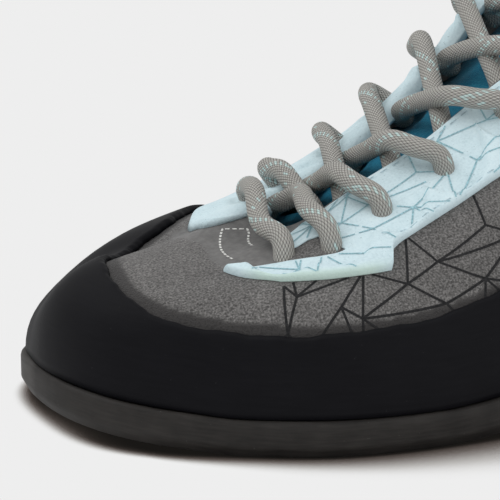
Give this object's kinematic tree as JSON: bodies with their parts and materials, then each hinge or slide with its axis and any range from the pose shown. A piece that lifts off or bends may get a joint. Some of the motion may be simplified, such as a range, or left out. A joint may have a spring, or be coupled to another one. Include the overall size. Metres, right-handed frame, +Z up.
{
  "type": "climbing shoe",
  "caption": "Left lace-up climbing shoe: hollow suede upper, high rubber rand, flat rubber outsole, forked eyelet facings, bowed tongue and a lace crossing the throat.",
  "frame": {"origin": "on the floor, under the middle of the bounding box", "axes": "+X from the toe to the heel, -Y to the outer side of the foot, +Z up"},
  "size_m": [0.2376, 0.085, 0.0851],
  "materials": {
    "sole_rubber": "dark warm grey, finely buffed",
    "rand_rubber": "near black, matt with fine scuffs",
    "suede": "grey napped suede",
    "facing_leather": "pale blue, matt",
    "tongue_suede": "teal microsuede",
    "board": "plain insole board",
    "cord": "taupe braid with pale flecks"
  },
  "bodies": {
    "root": {"outsole": "sole_rubber", "upper": "suede", "insole": "board", "rand": "rand_rubber", "facing_lateral": "facing_leather", "facing_medial": "facing_leather", "tongue": "tongue_suede", "lace_bar": "cord", "lace_crossing_1": "cord", "lace_crossing_2": "cord", "lace_crossing_3": "cord", "lace_crossing_4": "cord", "lace_crossing_5": "cord", "lace_crossing_6": "cord", "lace_crossing_7": "cord"}
  },
  "joints": []
}
